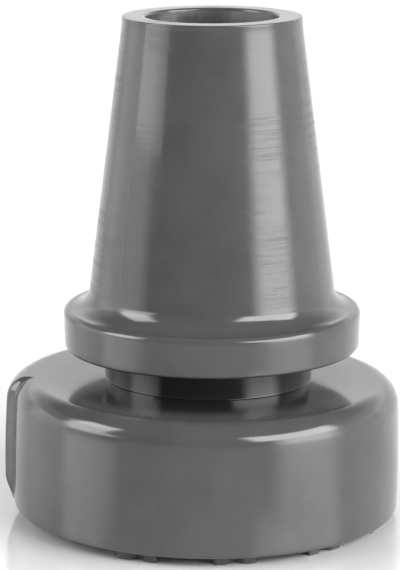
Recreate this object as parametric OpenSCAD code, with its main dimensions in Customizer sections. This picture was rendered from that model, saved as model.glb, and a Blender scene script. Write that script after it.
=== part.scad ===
// Rubber cane tip, moulded in one piece.
// A wide foot with a tread of cross-shaped lugs stands on the floor. A waisted neck joins it to a
// collared, tapered socket with a blind bore that grips the end of the cane.
// The lugs' lower faces lie at z = 0. The front is towards -y.

/* [Foot] */
// Largest diameter of the foot, at its belly
foot_d = 56.4; // [50:0.1:70]
// Height of the foot's shoulder above its flat underside
foot_h = 18.85; // [16:0.05:24]
// Height of the belly above the foot's flat underside
belly_z = 6; // [3:0.5:8]
// Radius of the belly's curve, seen from the side
belly_r = 180; // [100:5:300]
// Rounding of the shoulder
shoulder_r = 3.3; // [2:0.1:5]
// Rounding of the foot's lower edge
sole_edge_r = 0.5; // [0.3:0.1:1]
// Slope of the foot's upper face, in degrees
crown = 2; // [1:0.5:6]
// Step at the left, where the rear of the foot stands out past the mould's parting line
parting_step = 1.3; // [0.2:0.1:2]
// Angle that the face of the step turns away from the front, in degrees
parting_slant = 30; // [0:5:45]

/* [Tread] */
// Height of the lugs
lug_h = 1.25; // [0.8:0.05:2]
// Length of a lug along the rim of the foot
lug_l = 5.8; // [5:0.1:7]
// Width of a lug across the rim of the foot
lug_w = 5.2; // [4:0.1:6]
// Width of each arm of a lug's cross
lug_arm = 2.2; // [1.2:0.1:2.4]
// Distance from the foot's belly to the outer edge of the lugs
lug_inset = 1.6; // [0.8:0.1:3]
// Lugs in each of the tread's two arcs
lugs_per_arc = 4; // [2:1:5]
// Angle between neighbouring lugs, in degrees
lug_pitch = 30; // [25:1:32]
// Direction of the first lug of the first arc, from the +x axis, in degrees
lug_start = 68.5; // [0:0.5:90]

/* [Neck] */
// Diameter of the neck
neck_d = 30.2; // [27:0.1:32]
// Fillet between the neck and the foot's upper face
neck_r = 0.5; // [0.3:0.1:2]
// Height from the foot's shoulder to the collar's underside
neck_gap = 4.9; // [4.8:0.1:8]

/* [Collar] */
// Largest diameter of the collar, at its upper edge
collar_d = 43; // [41:0.1:46]
// Thickness of the collar
collar_t = 5.8; // [4:0.1:8]
// Draft of the collar's side, in degrees
collar_draft = 1.4; // [0:0.1:3]
// Rounding of the collar's upper and lower edges
collar_edge_r = 0.5; // [0.3:0.1:1]
// Sideways set of the collar and socket from the foot's axis, towards +x
collar_set = 0.8; // [0:0.1:2]

/* [Socket] */
// Height of the socket above the collar
socket_h = 42.1; // [36:0.1:50]
// Outer diameter of the socket's rim
rim_d = 25.7; // [25:0.1:28]
// Diameter that the socket's taper reaches at the collar
socket_base_d = 36.1; // [33:0.1:36.5]
// Height of the straight lip at the rim
lip_h = 1.1; // [0.6:0.1:2]
// Rounding of the rim's outer edge
rim_edge_r = 0.2; // [0.1:0.05:0.3]
// Fillet between the socket and the collar
socket_r = 3.1; // [1.5:0.1:3.2]
// Diameter of the bore that grips the shaft
bore_d = 19; // [17:0.1:20]
// Depth of the bore
bore_h = 42; // [36:0.5:44]
// Rounding of the bore's mouth
mouth_r = 0.4; // [0.2:0.1:0.8]

/* [Hidden] */
$fn = 96;

overlap = 0.5;         // how far joined solids run into each other
far = 4 * foot_d;      // longer than any line of the profiles

foot_r = foot_d / 2;
foot_x = parting_step / 2;     // the step is shared out, so the whole foot is centred on z
// Drop of the rear's shoulder, which keeps its upper face just under the front's.
rear_drop = parting_step * tan(crown) + 0.2;
collar_x = foot_x + collar_set;
neck_x = foot_x + collar_set / 5;
collar_r = collar_d / 2;
neck_rad = neck_d / 2;
bore_rad = bore_d / 2;

// Foot profile: x is the radius and y the height above the underside.
belly_c = [foot_r - belly_r, belly_z];
// The upper face falls outwards from the apex on the axis to the shoulder.
apex_h = foot_h + (foot_r - shoulder_r) * tan(crown);
crown_n = [sin(crown), cos(crown)];
// Centre of the shoulder's rounding: one radius inside both the upper face and the belly's curve.
shoulder_c = let(
    r_in = belly_r - shoulder_r,
    reach = (apex_h - shoulder_r / cos(crown) - belly_c.y) * cos(crown) - belly_c.x * sin(crown),
    turn = acos(reach / r_in)
) belly_c + r_in * [cos(90 - crown - turn), sin(90 - crown - turn)];
shoulder_out = (shoulder_c - belly_c) / norm(shoulder_c - belly_c);
// Centre of the lower edge's rounding: one radius inside both the underside and the belly's curve.
sole_c = belly_c + [
    sqrt(pow(belly_r - sole_edge_r, 2) - pow(belly_z - sole_edge_r, 2)),
    sole_edge_r - belly_z
];
sole_out = (sole_c - belly_c) / norm(sole_c - belly_c);

// Centre of the neck's fillet, tangent to the neck's side and to the foot's upper face.
neck_fillet_x = neck_rad + neck_r;
neck_fillet_c = [neck_fillet_x, apex_h - neck_fillet_x * tan(crown) + neck_r / cos(crown)];

collar_z = foot_h + neck_gap;
collar_top = collar_z + collar_t;
collar_low_r = collar_r - collar_t * tan(collar_draft);

// Socket profile: y is the height above the collar's upper face.
socket_base_r = socket_base_d / 2;
rim_r = rim_d / 2;
taper = atan((socket_base_r - rim_r) / (socket_h - lip_h));
taper_n = [cos(taper), sin(taper)];
// Centre of the socket's fillet, tangent to the taper and to the collar's upper face.
socket_fillet_c = [socket_base_r - socket_r * tan(taper) + socket_r / cos(taper), socket_r];

lug_ring_r = foot_r - lug_inset - lug_w / 2;

// Waste outside a rounded corner: c is the rounding's centre, u and v the outward directions at its ends
module corner_waste(c, r, u, v) {
    reach = 4 * r;
    difference() {
        polygon([c, c + reach * u, c + reach * (u + v), c + reach * v]);
        translate(c)
            circle(r = r);
    }
}

// Web that fills an inside corner up to its fillet: c is the fillet's centre, a and b its ends
module fillet_web(corner, a, b, c, r) {
    difference() {
        polygon([corner, a, c, b]);
        translate(c)
            circle(r = r);
    }
}

// Half section of the foot
module foot_section() {
    difference() {
        intersection() {
            translate(belly_c)
                circle(r = belly_r, $fn = 720);
            polygon([[0, 0], [far, 0], [far, apex_h - far * tan(crown)], [0, apex_h]]);
        }
        corner_waste(shoulder_c, shoulder_r, crown_n, shoulder_out);
        corner_waste(sole_c, sole_edge_r, sole_out, [0, -1]);
    }
}

// Half section of the neck, which runs up into the collar and down into the foot
module neck_section() {
    translate([0, foot_h - shoulder_r])
        square([neck_rad, collar_top - collar_t / 2 - foot_h + shoulder_r]);
    fillet_web(
        corner = [neck_rad - overlap, foot_h],
        a = [neck_rad - overlap, neck_fillet_c.y],
        b = neck_fillet_c - (neck_r + overlap) * crown_n,
        c = neck_fillet_c,
        r = neck_r
    );
}

// Half section of the collar, its upper face at y = 0
module collar_section() {
    draft_n = [cos(collar_draft), -sin(collar_draft)];
    inset = collar_edge_r * (1 / cos(collar_draft) + tan(collar_draft));
    inset_low = collar_edge_r * (1 / cos(collar_draft) - tan(collar_draft));
    difference() {
        polygon([[0, 0], [collar_r, 0], [collar_low_r, -collar_t], [0, -collar_t]]);
        corner_waste([collar_r - inset, -collar_edge_r], collar_edge_r, [0, 1], draft_n);
        corner_waste(
            [collar_low_r - inset_low, collar_edge_r - collar_t],
            collar_edge_r, draft_n, [0, -1]
        );
    }
}

// Half section of the socket without its bore
module socket_section() {
    difference() {
        union() {
            polygon([
                [0, -overlap], [socket_base_r, 0], [rim_r, socket_h - lip_h],
                [rim_r, socket_h], [0, socket_h]
            ]);
            fillet_web(
                corner = [socket_base_r - overlap, -overlap],
                a = socket_fillet_c - (socket_r + overlap) * taper_n,
                b = [socket_fillet_c.x, -overlap],
                c = socket_fillet_c,
                r = socket_r
            );
        }
        corner_waste([rim_r - rim_edge_r, socket_h - rim_edge_r], rim_edge_r, [0, 1], [1, 0]);
    }
}

// Half section of the bore, flared at its mouth
module bore_section() {
    translate([0, socket_h - bore_h])
        square([bore_rad, bore_h + overlap]);
    difference() {
        translate([0, socket_h - mouth_r])
            square([bore_rad + mouth_r, mouth_r + overlap]);
        translate([bore_rad + mouth_r, socket_h - mouth_r])
            circle(r = mouth_r);
    }
}

// One bar of a lug's cross, from end to end
module lug_bar(angle) {
    rotate(angle)
        square([2 * norm([lug_l, lug_w]), lug_arm], center = true);
}

// Lug seen from above: a flat cross with its arms cut off square at the lug's length and width
module lug_plan() {
    cross_angle = atan(lug_w / lug_l);
    intersection() {
        square([lug_w, lug_l], center = true);
        union() {
            lug_bar(90 - cross_angle);
            lug_bar(90 + cross_angle);
        }
    }
}

// Round body of the foot
module foot_body() {
    rotate_extrude()
        foot_section();
}

// Plan of what lies behind the parting line, with the step's face slanted at the left
module rear_plan() {
    polygon([
        [0, 0], [parting_step / 2 - foot_r, 0],
        [-far, (far - foot_r + parting_step / 2) * tan(parting_slant)],
        [-far, far], [0, far]
    ]);
}

// The foot on its tread, its rear left standing out by the parting step
module foot() {
    translate([foot_x, 0, lug_h])
        foot_body();
    intersection() {
        translate([-foot_x, 0, lug_h - rear_drop])
            foot_body();
        translate([0, 0, lug_h])
            linear_extrude(foot_d)
                rear_plan();
    }
    translate([foot_x, 0, 0])
        for (arc = [0, 180], i = [0 : lugs_per_arc - 1])
            rotate(lug_start + arc + i * lug_pitch)
                translate([lug_ring_r, 0, 0])
                    linear_extrude(lug_h + overlap)
                        lug_plan();
}

// The neck
module neck() {
    translate([neck_x, 0, lug_h])
        rotate_extrude()
            neck_section();
}

// The collar and the bored socket
module socket() {
    translate([collar_x, 0, lug_h + collar_top])
        rotate_extrude()
            difference() {
                union() {
                    collar_section();
                    socket_section();
                }
                bore_section();
            }
}

// The whole moulding
module cane_tip() {
    color("dimgray") {
        foot();
        neck();
        socket();
    }
}

cane_tip();
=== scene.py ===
"""Rubber cane tip: the looks of a one-piece glossy grey moulding, in a plain studio.

The moulding is one closed skin, turned ring by ring from the sole to the bottom of the bore, with
the tread's lugs drawn out of its underside. Lengths are in metres and angles in degrees.
"""

from __future__ import annotations

import logging
import math
from collections.abc import Callable
from dataclasses import dataclass, replace
from enum import Enum

import bmesh
import bpy
from mathutils import Matrix, Vector, geometry, noise

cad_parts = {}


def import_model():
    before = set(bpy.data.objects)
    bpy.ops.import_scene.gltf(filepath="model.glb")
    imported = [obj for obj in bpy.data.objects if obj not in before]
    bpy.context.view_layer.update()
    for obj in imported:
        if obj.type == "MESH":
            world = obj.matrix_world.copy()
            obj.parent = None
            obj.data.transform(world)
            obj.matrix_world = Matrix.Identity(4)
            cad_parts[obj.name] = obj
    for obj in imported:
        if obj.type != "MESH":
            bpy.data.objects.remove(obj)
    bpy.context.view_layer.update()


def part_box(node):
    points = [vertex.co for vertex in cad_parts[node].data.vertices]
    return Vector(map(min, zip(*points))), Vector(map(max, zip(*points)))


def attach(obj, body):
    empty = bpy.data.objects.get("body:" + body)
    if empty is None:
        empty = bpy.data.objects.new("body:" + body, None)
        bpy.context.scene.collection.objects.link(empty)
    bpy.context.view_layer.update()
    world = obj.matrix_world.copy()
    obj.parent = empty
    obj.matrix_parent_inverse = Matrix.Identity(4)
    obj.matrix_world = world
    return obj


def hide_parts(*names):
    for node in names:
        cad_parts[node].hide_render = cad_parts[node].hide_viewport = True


log = logging.getLogger("cane_tip")

Colour = tuple[float, float, float, float]
Point = tuple[float, float]
Mesh = bmesh.types.BMesh
Vert = bmesh.types.BMVert
Tree = bpy.types.NodeTree
Wire = bpy.types.NodeSocket
Value = Wire | float
Given = dict[str, Wire | float | Colour]

NODE = "cane_tip"
MM = 0.001


class Region(Enum):
    """Parts of the skin that take a finish of their own."""

    SKIN = 0
    BORE = 1
    TREAD = 2


@dataclass(frozen=True)
class Ring:
    """One ring of the skin.

    Attributes:
        radius: Distance from the ring's own axis.
        height: Height above the floor.
        centre: Where the ring's axis stands on x.
        step: Share of the parting line's step that the ring takes, from 0 to 1.
        seam: Share of the socket's seam that the ring takes, from 0 to 1.
        region: The finish from this ring up to the next.
    """

    radius: float
    height: float
    centre: float
    step: float = 0.0
    seam: float = 0.0
    region: Region = Region.SKIN


def arc(centre: Point, radius: float, start: float, end: float, steps: int) -> list[Point]:
    """Gives the points of an arc.

    Args:
        centre: The arc's centre.
        radius: The arc's radius.
        start: The angle of the first point, in degrees.
        end: The angle of the last point, in degrees.
        steps: How many pieces the arc has.

    Returns:
        The arc's points, both ends included.
    """
    x, y = centre
    angles = [math.radians(start + (end - start) * index / steps) for index in range(steps + 1)]
    return [(x + radius * math.cos(angle), y + radius * math.sin(angle)) for angle in angles]


def line(start: Point, end: Point, steps: int) -> list[Point]:
    """Gives evenly spaced points between two ends, leaving both ends out.

    Args:
        start: The end that the points start from.
        end: The other end.
        steps: How many pieces the line has.

    Returns:
        The points between the ends.
    """
    (x, y), (far_x, far_y) = start, end
    return [
        (x + (far_x - x) * index / steps, y + (far_y - y) * index / steps)
        for index in range(1, steps)
    ]


def ease(value: float, soft: float) -> float:
    """Clamps a value between 0 and 1, with both corners rounded.

    Args:
        value: The value to clamp.
        soft: How far each rounding reaches to either side of its corner.

    Returns:
        The eased value.
    """
    def corner(x: float) -> float:
        if x <= -soft:
            return 0.0
        if x >= soft:
            return x
        return (x + soft) ** 2 / (4.0 * soft)

    return corner(value) - corner(value - 1.0)


def smooth(value: float, low: float, high: float) -> float:
    """Gives a smooth rise from 0 to 1.

    Args:
        value: Where to read the rise.
        low: The value up to which it is 0.
        high: The value from which it is 1.

    Returns:
        The share of the rise.
    """
    share = min(1.0, max(0.0, (value - low) / (high - low)))
    return share * share * (3.0 - 2.0 * share)


def band(mesh: Mesh, low: list[Vert], high: list[Vert], region: Region) -> None:
    """Joins two closed rows of vertices by a band of faces.

    Args:
        mesh: The mesh that holds the vertices.
        low: The first row, in order.
        high: The second row, in the same order.
        region: The band's finish.
    """
    for index, vert in enumerate(low):
        after = (index + 1) % len(low)
        made = mesh.faces.new((vert, low[after], high[after], high[index]))
        made.material_index = region.value


class Turned:
    """A sub-assembly that is turned about an upright axis."""

    def __init__(self, size: object, base: float, centre: float) -> None:
        """Keeps the sub-assembly's sizes and place.

        Args:
            size: Its sizes.
            base: The height that its own heights are measured from.
            centre: Where its axis stands on x.
        """
        self.size = size
        self.base = base
        self.centre = centre

    def turn(self, points: list[Point]) -> list[Ring]:
        """Makes a plain ring of every point of a profile.

        Args:
            points: The radius and the height of each ring.

        Returns:
            The rings in order.
        """
        return [Ring(radius, self.base + height, self.centre) for radius, height in points]


@dataclass(frozen=True)
class FootSize:
    """Sizes of the wide foot. Heights are measured from its flat underside.

    Attributes:
        radius: Radius at the belly's widest.
        height: Height of the shoulder.
        belly_height: Height of the belly's widest.
        belly_curve: Radius of the belly's upright curve.
        shoulder: Rounding of the shoulder.
        sole_edge: Rounding of the underside's edge.
        crown: Outward fall of the upper face.
        step: How far the rear half stands to the left at the parting line.
        step_fade: Height over which the step grows from nothing.
        step_in: How far inside the belly the step is full, as a share of the shoulder's rounding.
        crown_end: Radius at which the upper face ends, just outside the neck.
        tilt: How far the foot leans to the right.
    """

    radius: float = 28.18 * MM
    height: float = 18.85 * MM
    belly_height: float = 6.0 * MM
    belly_curve: float = 180.0 * MM
    shoulder: float = 3.3 * MM
    sole_edge: float = 0.5 * MM
    crown: float = 2.0
    step: float = 1.3 * MM
    step_fade: float = 4.0 * MM
    step_in: float = 1.2
    crown_end: float = 15.8 * MM
    tilt: float = 0.75


class Foot(Turned):
    """The foot: underside edge, bellied wall, rounded shoulder and sloping upper face."""

    def __init__(self, size: FootSize, base: float, centre: float) -> None:
        """Works out the profile's centres.

        Args:
            size: The foot's sizes.
            base: Height of the underside.
            centre: Where the foot's axis stands on x.
        """
        super().__init__(size, base, centre)
        crown = math.radians(size.crown)
        self.apex = size.height + (size.radius - size.shoulder) * math.tan(crown)
        self.belly = (size.radius - size.belly_curve, size.belly_height)
        inner = size.belly_curve - size.shoulder
        reach = (
            (self.apex - size.shoulder / math.cos(crown) - self.belly[1]) * math.cos(crown)
            - self.belly[0] * math.sin(crown)
        )
        turn = math.pi / 2 - crown - math.acos(reach / inner)
        self.shoulder_centre = (
            self.belly[0] + inner * math.cos(turn),
            self.belly[1] + inner * math.sin(turn),
        )
        self.wall_top = math.degrees(turn)
        sole_up = size.sole_edge - size.belly_height
        sole_out = math.sqrt((size.belly_curve - size.sole_edge) ** 2 - sole_up**2)
        self.sole_centre = (self.belly[0] + sole_out, self.belly[1] + sole_up)
        self.wall_low = math.degrees(math.atan2(sole_up, sole_out))

    def surface(self, radius: float) -> float:
        """Gives the height of the sloping upper face.

        Args:
            radius: Distance from the foot's axis.

        Returns:
            The height above the underside.
        """
        return self.apex - radius * math.tan(math.radians(self.size.crown))

    def build(self) -> list[Ring]:
        """Builds the foot's rings, from the underside to the neck's crease.

        Returns:
            The rings in order.
        """
        size = self.size
        crown_out = 90.0 - size.crown
        points = arc(self.sole_centre, size.sole_edge, -90.0, self.wall_low, steps=5)
        points += arc(self.belly, size.belly_curve, self.wall_low, self.wall_top, steps=22)[1:]
        points += arc(self.shoulder_centre, size.shoulder, self.wall_top, crown_out, steps=14)[1:]
        points += line(points[-1], (size.crown_end, self.surface(size.crown_end)), steps=16)
        full_at = size.radius - size.step_in * size.shoulder
        rings = []
        for (radius, height), ring in zip(points, self.turn(points)):
            share = smooth(radius, size.crown_end, full_at)
            share *= smooth(height, -0.25 * size.step_fade, size.step_fade)
            rings.append(replace(ring, step=share))
        return rings


@dataclass(frozen=True)
class NeckSize:
    """Sizes of the plain round neck.

    Attributes:
        radius: The neck's radius.
        fillet: Rounding of the crease onto the foot.
        gap: Height from the foot's shoulder to the collar's underside.
        inner_corner: Rounding of the corner under the collar.
        offset: How far the neck's axis stands to the right of the foot's.
    """

    radius: float = 15.1 * MM
    fillet: float = 0.15 * MM
    gap: float = 4.9 * MM
    inner_corner: float = 0.35 * MM
    offset: float = 0.16 * MM


class Neck(Turned):
    """The neck: a tight crease on the foot and a short wall up to the collar."""

    def __init__(self, size: NeckSize, foot: Foot, centre: float) -> None:
        """Keeps the neck's place.

        Args:
            size: The neck's sizes.
            foot: The foot that the neck rises from.
            centre: Where the neck's axis stands on x.
        """
        super().__init__(size, foot.base, centre)
        self.foot = foot
        self.top = foot.base + foot.size.height + size.gap

    def build(self) -> list[Ring]:
        """Builds the neck's rings, from the crease to the collar's underside.

        Returns:
            The rings in order.
        """
        size = self.size
        crown = math.radians(self.foot.size.crown)
        out = size.radius + size.fillet
        middle = (out, self.foot.surface(out) + size.fillet / math.cos(crown))
        points = arc(middle, size.fillet, 270.0 - self.foot.size.crown, 180.0, steps=12)
        corner = (size.radius + size.inner_corner, self.top - self.base - size.inner_corner)
        points += arc(corner, size.inner_corner, 180.0, 90.0, steps=4)
        return self.turn(points)


@dataclass(frozen=True)
class CollarSize:
    """Sizes of the collar.

    Attributes:
        radius: Radius at the upper edge.
        thickness: Height of the collar.
        draft: Inward fall of the side, from the upper edge down.
        edge: Rounding of the lower edge.
        upper_edge: Rounding of the upper edge.
        offset: How far the collar's axis stands to the right of the foot's.
    """

    radius: float = 21.5 * MM
    thickness: float = 5.8 * MM
    draft: float = 1.4
    edge: float = 0.5 * MM
    upper_edge: float = 0.9 * MM
    offset: float = 0.8 * MM


class Collar(Turned):
    """The collar: a thick disc with a drafted side and rounded edges."""

    def build(self, inner: float) -> list[Ring]:
        """Builds the collar's rings, from its underside to its upper edge.

        Args:
            inner: Radius at which the underside starts.

        Returns:
            The rings in order.
        """
        size = self.size
        low = size.radius - size.thickness * math.tan(math.radians(size.draft))
        under = (low - size.edge, size.edge)
        over = (size.radius - size.upper_edge, size.thickness - size.upper_edge)
        points = line((inner, 0.0), (under[0], 0.0), steps=7)
        points += arc(under, size.edge, -90.0, -size.draft, steps=5)
        points += line(points[-1], (size.radius, over[1]), steps=8)
        points += arc(over, size.upper_edge, -size.draft, 90.0, steps=8)
        return self.turn(points)


@dataclass(frozen=True)
class SocketSize:
    """Sizes of the tapered socket and its bore. Heights are measured from the collar's top.

    Attributes:
        height: Height of the rim.
        rim_radius: Outer radius at the rim.
        base_radius: Radius at which the tapered wall would meet the collar.
        lip: Height of the upright lip under the rim.
        rim_edge: Rounding of the rim's outer edge.
        fillet: Rounding from the collar up to the wall.
        bore_radius: Radius of the bore.
        bore_depth: Depth of the bore.
        mouth: Rounding of the bore's mouth.
        bottom_edge: Rounding around the bore's flat bottom.
        seam_low: Height from which the seam starts to show.
        seam_high: Height at which the seam has gone.
    """

    height: float = 42.1 * MM
    rim_radius: float = 12.85 * MM
    base_radius: float = 18.05 * MM
    lip: float = 1.1 * MM
    rim_edge: float = 0.2 * MM
    fillet: float = 3.1 * MM
    bore_radius: float = 9.5 * MM
    bore_depth: float = 42.0 * MM
    mouth: float = 0.4 * MM
    bottom_edge: float = 0.4 * MM
    seam_low: float = 3.0 * MM
    seam_high: float = 24.0 * MM


class Socket(Turned):
    """The socket: fillet, tapered wall, lip, rim, flared mouth and blind bore."""

    def build(self, outer: float) -> list[Ring]:
        """Builds the socket's rings, over the rim and down to the bottom of the bore.

        Args:
            outer: Radius at which the collar's upper face starts.

        Returns:
            The rings in order.
        """
        size = self.size
        rise = size.height - size.lip
        slope = math.atan2(size.base_radius - size.rim_radius, rise)
        foot = (
            size.base_radius - size.fillet * math.tan(slope) + size.fillet / math.cos(slope),
            size.fillet,
        )
        points = line((outer, 0.0), (foot[0], 0.0), steps=3)
        points += arc(foot, size.fillet, -90.0, -180.0 + math.degrees(slope), steps=14)
        points += line(points[-1], (size.rim_radius, rise), steps=44)
        points += line((size.rim_radius, rise), (size.rim_radius, size.height - size.rim_edge), steps=4)
        over = (size.rim_radius - size.rim_edge, size.height - size.rim_edge)
        points += arc(over, size.rim_edge, 0.0, 90.0, steps=4)
        mouth = (size.bore_radius + size.mouth, size.height - size.mouth)
        points += line(points[-1], (mouth[0], size.height), steps=5)
        points += arc(mouth, size.mouth, 90.0, 180.0, steps=5)
        rings = [self._seamed(ring) for ring in self.turn(points[:-1])]
        floor = size.height - size.bore_depth
        low = (size.bore_radius - size.bottom_edge, floor + size.bottom_edge)
        points = points[-1:] + line(points[-1], (size.bore_radius, low[1]), steps=16)
        points += arc(low, size.bottom_edge, 0.0, -90.0, steps=3)
        points += line((low[0], floor), (0.0, floor), steps=5)
        return rings + [replace(ring, region=Region.BORE) for ring in self.turn(points)]

    def _seamed(self, ring: Ring) -> Ring:
        """Gives a ring of the outside its share of the seam."""
        size = self.size
        height = ring.height - self.base
        seam = smooth(height, size.seam_low, 2.0 * size.seam_low)
        seam *= 1.0 - smooth(height, 0.8 * size.seam_high, size.seam_high)
        return replace(ring, seam=seam)


# A lug's lower edge, as height and inset in shares of its rounding. The last narrow band is level,
# which keeps the lug's face flat in the light.
LUG_EDGE = ((1.0, 0.0), (0.6, 0.08), (0.3, 0.29), (0.08, 0.6), (0.0, 1.0), (0.0, 1.1))


@dataclass(frozen=True)
class TreadSize:
    """Sizes of the tread's lugs.

    Attributes:
        height: How far the lugs stand out of the underside.
        length: A lug's length, across the direction to the axis.
        width: A lug's width, along the direction to the axis.
        arm: Width of the cross's arms.
        ring_radius: Distance of the lugs from the foot's axis.
        per_arc: How many lugs each of the two arcs has.
        pitch: Turn from one lug to the next.
        start: Turn of the first lug.
        corner: Rounding of the outline's corners.
        longest_corner: The longest stretch of an outline's side that a corner may take.
        corner_steps: How many pieces each corner has.
        edge: Rounding of the lower edge.
    """

    height: float = 1.25 * MM
    length: float = 5.8 * MM
    width: float = 5.2 * MM
    arm: float = 2.2 * MM
    ring_radius: float = 24.0 * MM
    per_arc: int = 4
    pitch: float = 30.0
    start: float = 68.5
    corner: float = 0.35 * MM
    longest_corner: float = 0.45 * MM
    corner_steps: int = 4
    edge: float = 0.16 * MM


class Tread:
    """The tread: two arcs of cross-shaped lugs under the rim of the foot."""

    def __init__(self, size: TreadSize, centre: float) -> None:
        """Keeps the tread's place.

        Args:
            size: The lugs' sizes.
            centre: Where the foot's axis stands on x.
        """
        self.size = size
        self.centre = centre

    def outline(self) -> list[Point]:
        """Gives a lug's outline from below: a slanting cross whose arms end in a square.

        Returns:
            The outline's points, in order.
        """
        size = self.size
        half_w, half_l, half_a = size.width / 2, size.length / 2, size.arm / 2
        turn = math.atan2(size.width, size.length)
        side = half_l - half_a / math.sin(turn)
        end = half_w - half_a / math.cos(turn)
        quarter = [(half_w, side), (half_w, half_l), (end, half_l), (0.0, half_a / math.sin(turn))]
        upper = [(half_a / math.cos(turn), 0.0)] + quarter
        upper += [(-x, y) for x, y in reversed(quarter[:-1])]
        return self._soften(upper + [(-x, -y) for x, y in upper])

    def _soften(self, corners: list[Point]) -> list[Point]:
        """Rounds every corner of a closed outline.

        Args:
            corners: The outline's corners, in order.

        Returns:
            The points of the rounded outline.
        """
        size = self.size
        soft = []
        count = len(corners)
        for index, corner in enumerate(corners):
            here = Vector(corner)
            back = (Vector(corners[index - 1]) - here).normalized()
            ahead = (Vector(corners[(index + 1) % count]) - here).normalized()
            half = back.angle(ahead) / 2
            reach = min(size.corner / math.tan(half), size.longest_corner)
            for step in range(size.corner_steps + 1):
                share = step / size.corner_steps
                point = here + back * reach * (1 - share) ** 2 + ahead * reach * share**2
                soft.append((point.x, point.y))
        return soft

    def places(self) -> list[Matrix]:
        """Gives the place and turn of every lug.

        Returns:
            One matrix for each lug.
        """
        size = self.size
        return [
            Matrix.Translation((self.centre, 0.0, 0.0))
            @ Matrix.Rotation(math.radians(size.start + half + index * size.pitch), 4, "Z")
            @ Matrix.Translation((size.ring_radius, 0.0, 0.0))
            for half in (0.0, 180.0)
            for index in range(size.per_arc)
        ]

    def build(self, mesh: Mesh, rim: list[Vert], tilted: Callable[[Vector], Vector]) -> int:
        """Closes the underside and draws the lugs out of it.

        Args:
            mesh: The mesh that holds the foot.
            rim: The vertices of the underside's edge, in order.
            tilted: Gives a point of the foot its tilt.

        Returns:
            How many lugs were made.
        """
        size = self.size
        outline = self.outline()
        flat = [vert.co.to_2d() for vert in rim]
        edges = [(i, (i + 1) % len(rim)) for i in range(len(rim))]
        count = len(outline)
        for place in self.places():
            first = len(flat)
            flat += [(place @ Vector((x, y, 0.0))).to_2d() for x, y in outline]
            edges += [(first + i, first + (i + 1) % count) for i in range(count)]
        # Kind 1 keeps the triangles inside the edges; points nearer than the last number merge.
        points, _, faces, origins, _, _ = geometry.delaunay_2d_cdt(flat, edges, [], 1, 1e-7)
        verts = []
        for point, origin in zip(points, origins):
            if origin and origin[0] < len(rim):
                verts.append(rim[origin[0]])
            else:
                spot = tilted(Vector((point.x, point.y, size.height)))
                verts.append(mesh.verts.new((point.x, point.y, spot.z)))
        owner = {old: new for new, origin in enumerate(origins) for old in origin}
        starts = range(len(rim), len(flat), count)
        loops = [[owner[first + i] for i in range(count)] for first in starts]
        member = {vert: index for index, loop in enumerate(loops) for vert in loop}
        for face in faces:
            lugs = {member.get(vert, -1) for vert in face}
            if len(lugs) == 1 and -1 not in lugs:
                middle = sum((points[vert] for vert in face), Vector((0.0, 0.0))) / len(face)
                if self._inside(middle, [points[vert] for vert in loops[lugs.pop()]]):
                    continue
            made = mesh.faces.new([verts[vert] for vert in face])
            made.material_index = Region.TREAD.value
        for loop in loops:
            self._draw_lug(mesh, [verts[vert] for vert in loop])
        return len(loops)

    @staticmethod
    def _inside(point: Vector, loop: list[Vector]) -> bool:
        """Tells whether a point lies inside a closed outline.

        Args:
            point: The point.
            loop: The outline's points, in order.

        Returns:
            True if it lies inside.
        """
        inside = False
        for index, here in enumerate(loop):
            last = loop[index - 1]
            if (here.y > point.y) != (last.y > point.y):
                cut = (last.x - here.x) * (point.y - here.y) / (last.y - here.y) + here.x
                if point.x < cut:
                    inside = not inside
        return inside

    def _draw_lug(self, mesh: Mesh, top: list[Vert]) -> None:
        """Draws one lug down from its outline on the underside.

        Args:
            mesh: The mesh that holds the foot.
            top: The outline's vertices, in order.
        """
        edge = self.size.edge
        outs = []
        for before, after in zip(top[-1:] + top[:-1], top[1:] + top[:1]):
            along = (after.co - before.co).to_2d().normalized()
            outs.append(Vector((along.y, -along.x, 0.0)))
        last = top
        for height, inset in LUG_EDGE:
            ring = []
            for vert, out in zip(top, outs):
                spot = vert.co - out * (inset * edge)
                ring.append(mesh.verts.new((spot.x, spot.y, edge * height)))
            band(mesh, last, ring, Region.TREAD)
            last = ring
        for corners in geometry.tessellate_polygon([[vert.co for vert in last]]):
            face = mesh.faces.new([last[index] for index in corners])
            face.material_index = Region.TREAD.value


@dataclass(frozen=True)
class SkinSize:
    """How finely the skin is made, and how far it departs from true rounds.

    Attributes:
        columns: Columns around the skin, before the step and the seam get more.
        step_at: Direction of the parting line's step.
        step_turn: Turn that the step takes.
        step_soft: Rounding of the step's corners, as a share of its turn.
        step_fine: Middle of the step's fine columns, how far they reach and how many they are.
        step_back: Directions at the back between which the rear half's shift dies away.
        seam_at: Direction of the socket's seam.
        seam_width: Width of the seam.
        seam_height: Height of the seam.
        seam_fine: The seam's fine columns, in the same way as the step's.
        wave: Depth of the skin's slight waviness.
        wave_scale: Waves per metre.
        sharp_from: Turn between two faces from which their edge looks sharp.
    """

    columns: int = 384
    step_at: float = 184.5
    step_turn: float = 2.2
    step_soft: float = 0.35
    step_fine: tuple[float, float, int] = (-0.7, 2.4, 36)
    step_back: tuple[float, float] = (80.0, 105.0)
    seam_at: float = 222.0
    seam_width: float = 0.8
    seam_height: float = 0.035 * MM
    seam_fine: tuple[float, float, int] = (0.0, 1.2, 12)
    wave: float = 0.03 * MM
    wave_scale: float = 70.0
    sharp_from: float = 38.0


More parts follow.
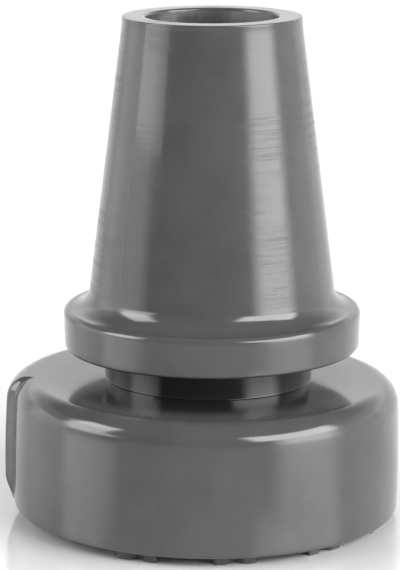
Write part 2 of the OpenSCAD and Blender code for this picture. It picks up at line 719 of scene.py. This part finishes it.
class CaneTip:
    """The whole moulding, as one closed skin."""

    def __init__(self, low: Vector, high: Vector) -> None:
        """Stands every sub-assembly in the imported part's box.

        Args:
            low: The box's lowest corner.
            high: The box's highest corner.
        """
        self.skin = SkinSize()
        foot_size, neck_size, tread_size = FootSize(), NeckSize(), TreadSize()
        collar_size, socket_size = CollarSize(), SocketSize()
        middle = (low.x + high.x) / 2
        foot_x = middle + foot_size.step / 2
        collar_x = foot_x + collar_size.offset
        self.foot = Foot(foot_size, low.z + tread_size.height, foot_x)
        self.neck = Neck(neck_size, self.foot, foot_x + neck_size.offset)
        self.collar = Collar(collar_size, self.neck.top, collar_x)
        self.socket = Socket(socket_size, high.z - socket_size.height, collar_x)
        self.tread = Tread(tread_size, foot_x)

    def rings(self) -> list[Ring]:
        """Gives every ring of the skin.

        Returns:
            The rings in order, from the sole's edge to the bottom of the bore.
        """
        neck_out = self.neck.size.radius + self.neck.size.inner_corner
        return (
            self.foot.build()
            + self.neck.build()
            + self.collar.build(neck_out)
            + self.socket.build(self.collar.size.radius - self.collar.size.upper_edge)
        )

    def columns(self) -> list[float]:
        """Gives the directions of the skin's columns, closer together at the step and the seam.

        Returns:
            The directions in order, in degrees from +x.
        """
        skin = self.skin
        pitch = 360.0 / skin.columns
        turns = [index * pitch for index in range(skin.columns)]
        fine = []
        for at, (shift, reach, count) in (
            (skin.step_at, skin.step_fine),
            (skin.seam_at, skin.seam_fine),
        ):
            middle = at + shift
            turns = [turn for turn in turns if abs(turn - middle) > reach]
            fine += [middle - reach + 2 * reach * index / count for index in range(count + 1)]
        return sorted(turns + fine)

    def place(self, ring: Ring, turn: float) -> Vector:
        """Gives the point of a ring in one direction.

        Args:
            ring: The ring.
            turn: The direction, in degrees from +x.

        Returns:
            The point.
        """
        skin, foot = self.skin, self.foot.size
        angle = math.radians(turn)
        along = Vector((math.cos(angle), math.sin(angle), 0.0))
        radius = ring.radius
        if ring.seam:
            off = (turn - skin.seam_at) / skin.seam_width
            radius += ring.seam * skin.seam_height * math.exp(-off * off * 4.0)
        point = Vector((ring.centre, 0.0, ring.height)) + along * radius
        if ring.step:
            share = ease((skin.step_at - turn) / skin.step_turn, skin.step_soft)
            share *= smooth(turn, *skin.step_back)
            drop = foot.step * math.tan(math.radians(foot.crown))
            height = smooth(ring.height - self.foot.base, foot.belly_height, foot.height)
            point += Vector((-foot.step, 0.0, -drop * height)) * (ring.step * share)
        point = self.tilted(point)
        if ring.region is Region.SKIN:
            spot = point * skin.wave_scale
            sway = noise.noise(spot) * skin.wave
            fade = smooth(ring.radius, 0.0, foot.radius / 2)
            point -= along * (abs(sway) * fade)
        return point

    def tilted(self, point: Vector) -> Vector:
        """Leans a point of the foot over to the right, and leaves the collar upright.

        Args:
            point: The point as it would stand upright.

        Returns:
            The leaning point.
        """
        foot = self.foot
        lean = math.tan(math.radians(foot.size.tilt))
        low, high = foot.base + foot.size.height, self.collar.base
        lean *= 1.0 - smooth(point.z, low, high)
        across, up = point.x - foot.centre, point.z - foot.base - foot.size.height / 2
        return point + Vector((up * lean, 0.0, -across * lean))

    def build(self, finishes: list[bpy.types.Material]) -> bpy.types.Object:
        """Builds the skin.

        Args:
            finishes: One material for each region, in the regions' order.

        Returns:
            The moulding's object.
        """
        mesh = bmesh.new()
        rings, turns = self.rings(), self.columns()
        rows = [[mesh.verts.new(self.place(ring, turn)) for turn in turns] for ring in rings]
        for low, high, ring in zip(rows, rows[1:], rings):
            band(mesh, low, high, ring.region)
        middle = mesh.verts.new((rings[-1].centre, 0.0, rings[-1].height))
        last = rows[-1]
        for vert, after in zip(last, last[1:] + last[:1]):
            mesh.faces.new((vert, after, middle)).material_index = Region.BORE.value
        lugs = self.tread.build(mesh, rows[0], self.tilted)
        bmesh.ops.recalc_face_normals(mesh, faces=mesh.faces)
        data = bpy.data.meshes.new("cane_tip_skin")
        mesh.to_mesh(data)
        mesh.free()
        for finish in finishes:
            data.materials.append(finish)
        data.shade_smooth()
        data.set_sharp_from_angle(angle=math.radians(self.skin.sharp_from))
        body = bpy.data.objects.new("cane_tip_skin", data)
        bpy.context.collection.objects.link(body)
        log.info("skin: %d rings, %d columns, %d lugs", len(rings), len(turns), lugs)
        return body


@dataclass(frozen=True)
class View:
    """The camera: a long lens, above the rim, looking slightly down.

    Attributes:
        distance: How far it stands in front of the axis.
        height: Its height above the floor.
        side: How far it stands to the right of the axis.
        pitch: How far it looks down.
        lens: Focal length, in the camera's own millimetres.
        sensor: Height of the sensor, in the same millimetres.
        clip: The nearest and the farthest distance that it sees.
    """

    distance: float = 374.0 * MM
    height: float = 115.9 * MM
    side: float = -0.27 * MM
    pitch: float = 12.39
    lens: float = 166.8
    sensor: float = 36.0
    clip: tuple[float, float] = (10 * MM, 20.0)

    def place(self) -> None:
        """Makes the camera and gives it to the scene."""
        data = bpy.data.cameras.new("view")
        data.sensor_fit = "VERTICAL"
        data.sensor_height = self.sensor
        data.lens = self.lens
        data.clip_start, data.clip_end = self.clip
        camera = bpy.data.objects.new("view", data)
        tilt = Matrix.Rotation(math.radians(90.0 - self.pitch), 4, "X")
        place = Matrix.Translation((self.side, -self.distance, self.height))
        camera.matrix_world = place @ tilt
        bpy.context.collection.objects.link(camera)
        bpy.context.scene.camera = camera


class Graph:
    """A node tree in the making, with a method for each kind of node that it needs most."""

    def __init__(self, tree: Tree) -> None:
        """Takes up a tree.

        Args:
            tree: The tree of a material, a world or a group.
        """
        self.nodes = tree.nodes
        self.links = tree.links

    def add(self, kind: str, given: Given | None = None, **settings: object) -> bpy.types.Node:
        """Adds a node.

        Args:
            kind: The node's type.
            given: The values of its inputs, by name.
            settings: The node's own settings.

        Returns:
            The node.
        """
        node = self.nodes.new(kind)
        for key, value in settings.items():
            setattr(node, key, value)
        for key, value in (given or {}).items():
            self.feed(node.inputs[key], value)
        return node

    def feed(self, socket: Wire, value: Value | Colour) -> None:
        """Gives an input its value.

        Args:
            socket: The input.
            value: A plain value to set, or another node's output to link.
        """
        if isinstance(value, Wire):
            self.links.new(value, socket)
        else:
            socket.default_value = value

    def use(self, effect: Tree, spot: Wire) -> bpy.types.NodeOutputs:
        """Adds a node group.

        Args:
            effect: The group's tree.
            spot: The position to give it.

        Returns:
            The group's outputs, by name.
        """
        return self.add("ShaderNodeGroup", {"Position": spot}, node_tree=effect).outputs

    def math(self, kind: str, *values: Value) -> Wire:
        """Adds a calculation.

        Args:
            kind: The calculation.
            values: What it calculates with, as numbers or outputs.

        Returns:
            What the calculation gives.
        """
        node = self.add("ShaderNodeMath", operation=kind)
        for socket, value in zip(node.inputs, values):
            self.feed(socket, value)
        return node.outputs[0]

    def step(self, value: Value, low: Value, high: Value) -> Wire:
        """Adds a smooth step.

        Args:
            value: The value to read.
            low: The value up to which the step is 0.
            high: The value from which it is 1.

        Returns:
            The step's value.
        """
        given = {"Value": value, "From Min": low, "From Max": high}
        node = self.add("ShaderNodeMapRange", given, interpolation_type="SMOOTHSTEP")
        return node.outputs["Result"]

    def spread(self, share: Value, low: float, high: float) -> Wire:
        """Spreads a share between 0 and 1 out between two numbers.

        Args:
            share: The share.
            low: What 0 becomes.
            high: What 1 becomes.

        Returns:
            The spread value.
        """
        given = {"Value": share, "To Min": low, "To Max": high}
        return self.add("ShaderNodeMapRange", given).outputs["Result"]

    def noise(self, spot: Wire, scale: Value, detail: float, rough: float = 0.5) -> Wire:
        """Adds a noise texture.

        Args:
            spot: The position to read it at.
            scale: Its scale.
            detail: How many finer layers it has.
            rough: How strong the finer layers are.

        Returns:
            The noise's value.
        """
        given = {"Vector": spot, "Scale": scale, "Detail": detail, "Roughness": rough}
        return self.add("ShaderNodeTexNoise", given).outputs[0]

    def mix(self, share: Wire, low: Wire | Colour, high: Colour) -> Wire:
        """Mixes two colours.

        Args:
            share: The share of the second colour.
            low: The first colour.
            high: The second colour.

        Returns:
            The mixed colour.
        """
        node = self.add("ShaderNodeMix", data_type="RGBA")
        for name, value in (("Factor", share), ("A", low), ("B", high)):
            self.feed(node.inputs[name], value)
        return node.outputs["Result"]

    def axes(self, vector: Wire) -> bpy.types.NodeOutputs:
        """Splits a vector.

        Args:
            vector: The vector.

        Returns:
            Its three parts, by name.
        """
        return self.add("ShaderNodeSeparateXYZ", {"Vector": vector}).outputs


class Group(Graph):
    """A shader node group in the making."""

    def __init__(
        self, name: str, vector: str, numbers: dict[str, float], results: tuple[str, ...]
    ) -> None:
        """Starts the group.

        Args:
            name: The group's name.
            vector: The vector that it takes.
            numbers: The numbers that it takes, with their defaults.
            results: The values that it gives.
        """
        tree = bpy.data.node_groups.new(name, "ShaderNodeTree")
        tree.interface.new_socket(vector, in_out="INPUT", socket_type="NodeSocketVector")
        for key, value in numbers.items():
            made = tree.interface.new_socket(key, in_out="INPUT", socket_type="NodeSocketFloat")
            made.default_value = value
        for key in results:
            tree.interface.new_socket(key, in_out="OUTPUT", socket_type="NodeSocketFloat")
        super().__init__(tree)
        self.tree = tree
        self.given = self.add("NodeGroupInput").outputs

    def give(self, **results: Wire) -> Tree:
        """Finishes the group.

        Args:
            results: The values that it gives, by name.

        Returns:
            The group's tree.
        """
        self.add("NodeGroupOutput", results)
        return self.tree


@dataclass(frozen=True)
class Window:
    """One soft-edged patch of light in the studio's surroundings.

    Attributes:
        name: What the patch is.
        bearing: Direction of its middle, from the front towards the right.
        half: Half of its width.
        low: Elevation of its lower edge.
        high: Elevation of its upper edge.
        radiance: How bright it is.
        soft: Softness of its sides.
        soft_top: Softness of its lower and upper edges.
        widen: How much half of its width grows for each degree of elevation.
    """

    name: str
    bearing: float
    half: float
    low: float
    high: float
    radiance: float
    soft: float = 6.0
    soft_top: float = 3.0
    widen: float = 0.0


class Room:
    """The studio's surroundings: soft windows of light in a dim room."""

    WINDOWS = (
        Window("right_low", 62.0, 19.0, -30.0, 19.0, 6.3, soft=9.0),
        Window("right_high", 58.0, 22.0, 19.0, 42.0, 8.5, soft=5.0, soft_top=1.5, widen=0.3),
        Window("left_low", -74.0, 18.0, 9.0, 19.0, 4.0, soft=5.0, soft_top=1.5),
        Window("left_high", -80.0, 16.0, 19.0, 48.0, 6.0, soft=4.0, soft_top=1.5),
        Window("left_wall", -98.0, 30.0, -30.0, 20.0, 1.6, soft=9.0),
        Window("right_wall", 110.0, 26.0, -30.0, 20.0, 0.75, soft=8.0),
        Window("backdrop_high", 180.0, 80.0, 16.0, 34.0, 0.55, soft=14.0, soft_top=4.0),
        Window("backdrop", 180.0, 48.0, -30.0, 24.0, 0.84, soft=12.0, soft_top=8.0),
    )
    AMBIENT = 0.2

    def build(self) -> None:
        """Builds the world from the windows."""
        world = bpy.data.worlds.new("room")
        world.use_nodes = True
        graph = Graph(world.node_tree)
        direction = graph.add("ShaderNodeTexCoord").outputs["Generated"]
        group = self._window_group()
        total: Value = self.AMBIENT
        for window in self.WINDOWS:
            given = {
                "Direction": direction,
                "Bearing": math.radians(window.bearing),
                "Half Width": math.radians(window.half),
                "Low": math.radians(window.low),
                "High": math.radians(window.high),
                "Soft": math.radians(window.soft),
                "Soft Top": math.radians(window.soft_top),
                "Widen": window.widen,
                "Radiance": window.radiance,
            }
            patch = graph.add("ShaderNodeGroup", given, node_tree=group, name=window.name)
            total = graph.math("ADD", patch.outputs["Light"], total)
        graph.feed(graph.nodes["Background"].inputs["Color"], total)
        bpy.context.scene.world = world
        log.info("room: %d windows", len(self.WINDOWS))

    @staticmethod
    def _window_group() -> Tree:
        """Makes the node group that gives one window's light in a direction.

        Returns:
            The group's tree.
        """
        names = ("Bearing", "Half Width", "Low", "High", "Soft", "Soft Top", "Widen", "Radiance")
        group = Group("soft_window", "Direction", dict.fromkeys(names, 0.0), ("Light",))
        calc, given = group.math, group.given
        axes = group.axes(given["Direction"])
        bearing = calc("ARCTAN2", axes["X"], calc("MULTIPLY", axes["Y"], -1.0))
        rise = calc("ARCSINE", axes["Z"])
        away = calc("ARCCOSINE", calc("COSINE", calc("SUBTRACT", bearing, given["Bearing"])))
        reach = calc("ADD", given["Half Width"], calc("MULTIPLY", rise, given["Widen"]))
        light = given["Radiance"]
        for value, edge, soft, outwards, inwards in (
            (away, reach, given["Soft"], "ADD", "SUBTRACT"),
            (rise, given["Low"], given["Soft Top"], "SUBTRACT", "ADD"),
            (rise, given["High"], given["Soft Top"], "ADD", "SUBTRACT"),
        ):
            share = group.step(value, calc(outwards, edge, soft), calc(inwards, edge, soft))
            light = calc("MULTIPLY", light, share)
        return group.give(Light=light)


@dataclass(frozen=True)
class Panel:
    """A small upright light beside the part, which shows in its gloss only.

    Attributes:
        name: What the light is.
        bearing: Its direction, from the front towards the right.
        distance: How far it stands from the upright axis.
        low: Height of its lower edge above the floor.
        high: Height of its upper edge above the floor.
        width: Its width.
        radiance: How bright it is.
    """

    name: str = "left_panel"
    bearing: float = -69.0
    distance: float = 80 * MM
    low: float = 58 * MM
    high: float = 80 * MM
    width: float = 50 * MM
    radiance: float = 1.75

    def stand(self, base: float) -> None:
        """Makes the light, facing the upright axis.

        Args:
            base: Height of the floor.
        """
        height = self.high - self.low
        data = bpy.data.lights.new(self.name, "AREA")
        data.shape = "RECTANGLE"
        data.size = self.width
        data.size_y = height
        data.energy = self.radiance * math.pi * self.width * height
        lamp = bpy.data.objects.new(self.name, data)
        bearing = math.radians(self.bearing)
        out = Vector((math.sin(bearing), -math.cos(bearing), 0.0))
        middle = out * self.distance + Vector((0.0, 0.0, base + (self.low + self.high) / 2))
        lamp.matrix_world = (
            Matrix.Translation(middle) @ out.to_track_quat("Z", "Y").to_matrix().to_4x4()
        )
        lamp.visible_camera = False
        lamp.visible_diffuse = False
        bpy.context.collection.objects.link(lamp)


@dataclass(frozen=True)
class Floor:
    """The pale, lightly polished floor.

    Attributes:
        half: Half of its width.
        base: Its tone.
        roughness: How dull it is.
        ior: Its index of refraction.
    """

    half: float = 4.0
    base: Colour = (0.85, 0.85, 0.85, 1.0)
    roughness: float = 0.12
    ior: float = 1.6

    def build(self) -> None:
        """Lays the floor."""
        half = self.half
        mesh = bpy.data.meshes.new("floor")
        corners = [(-half, -half, 0.0), (half, -half, 0.0), (half, half, 0.0), (-half, half, 0.0)]
        mesh.from_pydata(corners, [], [(0, 1, 2, 3)])
        floor = bpy.data.objects.new("floor", mesh)
        material = bpy.data.materials.new("pale_floor")
        material.use_nodes = True
        shader = material.node_tree.nodes["Principled BSDF"]
        shader.inputs["Base Color"].default_value = self.base
        shader.inputs["Roughness"].default_value = self.roughness
        shader.inputs["IOR"].default_value = self.ior
        mesh.materials.append(material)
        bpy.context.collection.objects.link(floor)


class Effects:
    """Surface effects that the rubber's finishes share, each one a shader node group."""

    def __init__(self) -> None:
        """Makes every group once."""
        self.lines = self._lines()
        self.mottle = self._mottle()
        self.settled = self._settled()
        self.groove = self._painted_groove_shade()

    @staticmethod
    def _lines() -> Tree:
        """Makes fine level lines, as a turned mould leaves them, in ragged patches.

        Returns:
            The group's tree, which gives the lines' height and their mask.
        """
        numbers = {"Pitch": 3200.0, "Length": 110.0, "From Height": 31 * MM}
        group = Group("mould_lines", "Position", numbers, ("Height", "Mask"))
        given = group.given
        axes, spot = group.axes(given["Position"]), group.add("ShaderNodeCombineXYZ")
        for axis, scale in (("X", "Length"), ("Y", "Length"), ("Z", "Pitch")):
            group.feed(spot.inputs[axis], group.math("MULTIPLY", axes[axis], given[scale]))
        grain = group.noise(spot.outputs[0], 1.0, detail=2.0)
        ragged = group.step(group.noise(given["Position"], 95.0, detail=3.0), 0.42, 0.62)
        above = group.math("SUBTRACT", axes["Z"], given["From Height"])
        patch = group.math("MULTIPLY", ragged, group.step(above, 0.0, 4 * MM))
        height = group.math("MULTIPLY", grain, patch)
        ridge = group.math("MULTIPLY", group.step(grain, 0.46, 0.6), patch)
        return group.give(Height=height, Mask=ridge)

    @staticmethod
    def _mottle() -> Tree:
        """Makes the soft cloudiness and the fine grain of moulded rubber.

        Returns:
            The group's tree, which gives the cloudiness and the grain.
        """
        numbers = {"Scale": 120.0, "Finer": 22.0}
        group = Group("rubber_mottle", "Position", numbers, ("Cloud", "Grain"))
        spot, scale = group.given["Position"], group.given["Scale"]
        cloud = group.step(group.noise(spot, scale, detail=5.0, rough=0.6), 0.3, 0.7)
        fine = group.math("MULTIPLY", scale, group.given["Finer"])
        return group.give(Cloud=cloud, Grain=group.noise(spot, fine, detail=3.0))

    @staticmethod
    def _settled() -> Tree:
        """Makes the mask of the light dust that settles on upper faces and along edges.

        Returns:
            The group's tree, which gives the mask.
        """
        group = Group("settled_dust", "Position", {"Scale": 260.0}, ("Mask",))
        shape = group.add("ShaderNodeNewGeometry").outputs
        upper = group.step(group.axes(shape["Normal"])["Z"], 0.35, 1.0)
        edge = group.step(shape["Pointiness"], 0.52, 0.6)
        speck = group.noise(group.given["Position"], group.given["Scale"], detail=6.0, rough=0.7)
        cover = group.math("MAXIMUM", upper, edge)
        return group.give(Mask=group.math("MULTIPLY", cover, group.step(speck, 0.4, 0.75)))

    @staticmethod
    def _painted_groove_shade() -> Tree:
        """Makes the mask of the painted shade in the groove between the foot and the collar.

        Returns:
            The group's tree, which gives the mask.
        """
        numbers = {"Low": 18 * MM, "High": 26 * MM, "Reach": 23.5 * MM}
        group = Group("groove_shade", "Position", numbers, ("Mask",))
        calc, given = group.math, group.given
        axes = group.axes(given["Position"])
        flat = group.add("ShaderNodeCombineXYZ", {axis: axes[axis] for axis in "XY"})
        length = group.add("ShaderNodeVectorMath", operation="LENGTH")
        group.feed(length.inputs[0], flat.outputs[0])
        mask = group.step(calc("SUBTRACT", given["Reach"], length.outputs["Value"]), 0.0, 4 * MM)
        above = calc("SUBTRACT", axes["Z"], given["Low"])
        below = calc("SUBTRACT", given["High"], axes["Z"])
        for part in (above, below):
            mask = calc("MULTIPLY", mask, group.step(part, 0.0, 2 * MM))
        return group.give(Mask=mask)


@dataclass(frozen=True)
class RubberFinish:
    """Dark grey moulded rubber.

    Attributes:
        name: The material's name.
        dark: The rubber's darkest tone.
        light: The rubber's lightest tone.
        dust: The tone of settled dust.
        painted_groove_shade: A dark tone painted into the groove under the collar, which stands in for
            the shade that falls there.
        smooth: Roughness where the surface is glossiest.
        matt: Roughness where the surface is dullest.
        lines: How strongly the mould lines dull the surface.
        film: How strong the gloss of the moulded face is between the lines.
        film_roughness: Roughness of that gloss.
        ior: Index of refraction.
        grain: How strong the grain is beside the lines.
        relief: Height of the grain and lines.
    """

    name: str
    dark: Colour = (0.068, 0.068, 0.0695, 1.0)
    light: Colour = (0.081, 0.081, 0.082, 1.0)
    dust: Colour = (0.085, 0.085, 0.084, 1.0)
    painted_groove_shade: Colour = (0.018, 0.018, 0.019, 1.0)
    smooth: float = 0.09
    matt: float = 0.17
    lines: float = 0.1
    film: float = 0.22
    film_roughness: float = 0.06
    ior: float = 1.5
    grain: float = 0.35
    relief: float = 0.01 * MM

    def make(self, effects: Effects) -> bpy.types.Material:
        """Builds the material.

        Args:
            effects: The shared node groups.

        Returns:
            The material, ready to assign.
        """
        material = bpy.data.materials.new(self.name)
        material.use_nodes = True
        graph = Graph(material.node_tree)
        shader = graph.nodes["Principled BSDF"]
        shader.inputs["IOR"].default_value = self.ior
        shader.inputs["Coat Roughness"].default_value = self.film_roughness
        spot = graph.add("ShaderNodeTexCoord").outputs["Object"]
        lines, mottle = graph.use(effects.lines, spot), graph.use(effects.mottle, spot)
        settled, groove = graph.use(effects.settled, spot), graph.use(effects.groove, spot)
        colour = graph.mix(mottle["Cloud"], self.dark, self.light)
        colour = graph.mix(settled["Mask"], colour, self.dust)
        # Painted shade: the base colour is darkened in the groove between the foot and the collar.
        colour = graph.mix(groove["Mask"], colour, self.painted_groove_shade)
        gloss = graph.spread(mottle["Cloud"], self.smooth, self.matt)
        height = graph.math("MULTIPLY_ADD", mottle["Grain"], self.grain, lines["Height"])
        bump = graph.add("ShaderNodeBump", {"Distance": self.relief, "Height": height})
        for name, value in (
            ("Base Color", colour),
            ("Roughness", graph.math("MULTIPLY_ADD", lines["Mask"], self.lines, gloss)),
            ("Coat Weight", graph.spread(lines["Mask"], self.film, 0.0)),
            ("Normal", bump.outputs["Normal"]),
        ):
            graph.feed(shader.inputs[name], value)
        log.info("finish: %s", self.name)
        return material


FINISHES = (
    RubberFinish("rubber_skin"),
    # The bore's lighter tone is painted reflection: it stands in for the bright light seen on the
    # bore's back wall.
    RubberFinish("rubber_bore_painted_light", light=(0.22, 0.22, 0.218, 1.0), smooth=0.2, matt=0.34, film=0.0),
    RubberFinish("rubber_tread", smooth=0.32, matt=0.5, film=0.0, dust=(0.2, 0.19, 0.175, 1.0)),
)


def main() -> None:
    """Builds the scene."""
    logging.basicConfig(level=logging.INFO, format="%(name)s: %(message)s")
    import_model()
    low, high = (Vector(corner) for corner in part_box(NODE))
    bpy.context.scene.view_settings.view_transform = "Standard"
    effects = Effects()
    body = CaneTip(low, high).build([finish.make(effects) for finish in FINISHES])
    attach(body, "root")
    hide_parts(NODE)
    View().place()
    Room().build()
    Panel().stand(low.z)
    Floor().build()


if __name__ == "__main__":
    main()
